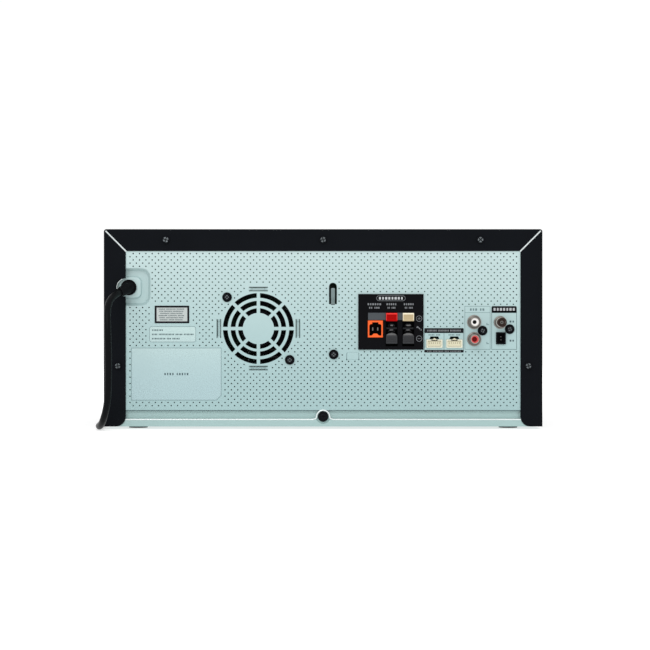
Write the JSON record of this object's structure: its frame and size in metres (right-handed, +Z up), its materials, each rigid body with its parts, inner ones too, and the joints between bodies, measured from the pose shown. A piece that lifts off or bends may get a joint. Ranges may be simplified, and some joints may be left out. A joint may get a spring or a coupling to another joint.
{
  "type": "mini hifi system main unit",
  "caption": "Audio main unit with steel cabinet, moulded front, sliding disc tray, volume dial, cooling fan, rear sockets, sprung speaker terminals and captive mains cord.",
  "frame": {"origin": "under the middle of the unit, on the surface its feet stand on, with the mains cord left out", "axes": "+Z up, -Y out of the front, +Y out of the rear panel, +X along the width towards the mains cord's side"},
  "size_m": [0.4306, 0.4708, 0.1915],
  "materials": {
    "black_steel": "satin powder coat",
    "zinc_steel": "pale blue-green passivated sheet",
    "chassis_steel": "galvanised sheet",
    "black_gloss": "piano gloss",
    "black_plastic": "fine texture",
    "grey_plastic": "fine texture",
    "smoke_window": "tinted, polished",
    "light_ring": "frosted",
    "dial_metal": "spun",
    "display_glass": "dark",
    "board_green": "solder mask",
    "chip_black": "matt",
    "capacitor_sleeve": "shrink sleeve",
    "sink_aluminium": "extruded",
    "deck_plastic": "fine texture",
    "tray_plastic": "fine texture",
    "white_plastic": "smooth acetal",
    "motor_steel": "plated",
    "rod_steel": "ground",
    "rubber": "matt",
    "jack_plating": "nickel",
    "pin_plating": "plated",
    "ivory_plastic": "smooth",
    "phono_white": "smooth",
    "phono_red": "smooth",
    "lever_red": "smooth",
    "lever_ivory": "smooth",
    "orange_plastic": "smooth",
    "screw_black": "black zinc",
    "label_film": "printed film",
    "cord_black": "satin PVC",
    "tie_white": "smooth"
  },
  "bodies": {
    "cabinet": {"aerial_socket": "jack_plating", "base_chassis": "chassis_steel", "board_parts": "chip_black", "capacitors": "capacitor_sleeve", "circuit_boards": "board_green", "coil_tie": "tie_white", "cord_coil": "cord_black", "cord_gland": "black_plastic", "deck_frame": "deck_plastic", "deck_motors": "motor_steel", "deck_steelwork": "chassis_steel", "dial_ring": "light_ring", "display_module": "display_glass", "display_window": "smoke_window", "fan_frame": "black_plastic", "fascia": "black_gloss", "front_board": "board_green", "guide_rods": "rod_steel", "heatsink": "sink_aluminium", "light_sockets": "ivory_plastic", "loading_belt": "rubber", "mains_cord": "cord_black", "mic_jacks": "black_plastic", "phono_barrels": "jack_plating", "phono_red_core": "phono_red", "phono_white_core": "phono_white", "plug_body": "cord_black", "plug_pins": "rod_steel", "rating_labels": "label_film", "rear_panel": "zinc_steel", "rotary_controls": "motor_steel", "rubber_feet": "rubber", "screws": "screw_black", "socket_housings": "black_plastic", "socket_pins": "pin_plating", "speaker_block": "black_plastic", "top_cover": "black_steel", "traverse": "deck_plastic", "usb_sockets": "jack_plating", "woofer_socket": "orange_plastic"},
    "tray": {"disc_tray": "tray_plastic", "drawer_front": "black_gloss"},
    "loading_gear": {"loading_gear": "white_plastic"},
    "turntable": {"turntable": "deck_plastic"},
    "clamp_puck": {"clamp_puck": "white_plastic"},
    "sled": {"pickup_sled": "grey_plastic"},
    "sled_gear": {"sled_gear": "white_plastic"},
    "fan_rotor": {"fan_rotor": "black_plastic"},
    "volume_dial": {"volume_dial": "dial_metal"},
    "level_knob": {"level_knob": "black_plastic"},
    "power_button": {"power_button": "dial_metal"},
    "eject_button": {"eject_button": "grey_plastic"},
    "source_button": {"source_button": "grey_plastic"},
    "back_button": {"back_button": "grey_plastic"},
    "play_button": {"play_button": "grey_plastic"},
    "next_button": {"next_button": "grey_plastic"},
    "upper_lever_a": {"upper_lever_a": "lever_red"},
    "upper_lever_b": {"upper_lever_b": "lever_ivory"},
    "lower_lever_a": {"lower_lever_a": "grey_plastic"},
    "lower_lever_b": {"lower_lever_b": "grey_plastic"}
  },
  "joints": [
    {"name": "tray_slide", "type": "slide", "parent": "cabinet", "child": "tray", "axis": [0, -1, 0], "range_m": [0, 0.135]},
    {"name": "loading_gear_turn", "type": "hinge", "parent": "cabinet", "child": "loading_gear", "pos_m": [-0.042, -0.1, 0.0925], "axis": [0, 0, 1], "range_deg": [-5, 972]},
    {"name": "disc_spin", "type": "hinge", "parent": "cabinet", "child": "turntable", "pos_m": [0, -0.08, 0.0985], "axis": [0, 0, 1], "continuous": true},
    {"name": "clamp_spin", "type": "hinge", "parent": "cabinet", "child": "clamp_puck", "pos_m": [0, -0.08, 0.1125], "axis": [0, 0, 1], "continuous": true},
    {"name": "sled_slide", "type": "slide", "parent": "cabinet", "child": "sled", "axis": [0, 1, 0], "range_m": [0, 0.03]},
    {"name": "sled_gear_turn", "type": "hinge", "parent": "cabinet", "child": "sled_gear", "pos_m": [0.0316, -0.015, 0.0935], "axis": [0, 0, 1], "range_deg": [-320, 2]},
    {"name": "fan_spin", "type": "hinge", "parent": "cabinet", "child": "fan_rotor", "pos_m": [0.062, 0.148, 0.0963], "axis": [0, 1, 0], "continuous": true},
    {"name": "volume_turn", "type": "hinge", "parent": "cabinet", "child": "volume_dial", "pos_m": [0.148, -0.15, 0.1105], "axis": [0, 1, 0], "continuous": true},
    {"name": "level_turn", "type": "hinge", "parent": "cabinet", "child": "level_knob", "pos_m": [0.098, -0.15, 0.0345], "axis": [0, 1, 0], "range_deg": [-140, 140]},
    {"name": "power_button_press", "type": "slide", "parent": "cabinet", "child": "power_button", "axis": [0, 1, 0], "range_m": [0, 0.0012], "stiffness_N_per_m": 900, "springref_m": -0.0004},
    {"name": "eject_button_press", "type": "slide", "parent": "cabinet", "child": "eject_button", "axis": [0, 1, 0], "range_m": [0, 0.0012], "stiffness_N_per_m": 900, "springref_m": -0.0004},
    {"name": "source_button_press", "type": "slide", "parent": "cabinet", "child": "source_button", "axis": [0, 1, 0], "range_m": [0, 0.0012], "stiffness_N_per_m": 900, "springref_m": -0.0004},
    {"name": "back_button_press", "type": "slide", "parent": "cabinet", "child": "back_button", "axis": [0, 1, 0], "range_m": [0, 0.0012], "stiffness_N_per_m": 900, "springref_m": -0.0004},
    {"name": "play_button_press", "type": "slide", "parent": "cabinet", "child": "play_button", "axis": [0, 1, 0], "range_m": [0, 0.0012], "stiffness_N_per_m": 900, "springref_m": -0.0004},
    {"name": "next_button_press", "type": "slide", "parent": "cabinet", "child": "next_button", "axis": [0, 1, 0], "range_m": [0, 0.0012], "stiffness_N_per_m": 900, "springref_m": -0.0004},
    {"name": "upper_lever_a_press", "type": "hinge", "parent": "cabinet", "child": "upper_lever_a", "pos_m": [-0.0656, 0.1528, 0.1093], "axis": [-1, 0, 0], "range_deg": [0, 15], "stiffness_Nm_per_rad": 0.08, "springref_deg": -5.73},
    {"name": "upper_lever_b_press", "type": "hinge", "parent": "cabinet", "child": "upper_lever_b", "pos_m": [-0.0816, 0.1528, 0.1093], "axis": [-1, 0, 0], "range_deg": [0, 15], "stiffness_Nm_per_rad": 0.08, "springref_deg": -5.73},
    {"name": "lower_lever_a_press", "type": "hinge", "parent": "cabinet", "child": "lower_lever_a", "pos_m": [-0.0656, 0.1528, 0.0837], "axis": [1, 0, 0], "range_deg": [0, 15], "stiffness_Nm_per_rad": 0.08, "springref_deg": -5.73},
    {"name": "lower_lever_b_press", "type": "hinge", "parent": "cabinet", "child": "lower_lever_b", "pos_m": [-0.0816, 0.1528, 0.0837], "axis": [1, 0, 0], "range_deg": [0, 15], "stiffness_Nm_per_rad": 0.08, "springref_deg": -5.73}
  ],
  "couplings": [
    {"joint": "loading_gear_turn", "follows": "tray_slide", "rad_per_m": 125},
    {"joint": "clamp_spin", "follows": "disc_spin", "ratio": 1},
    {"joint": "sled_gear_turn", "follows": "sled_slide", "rad_per_m": -185.19}
  ]
}
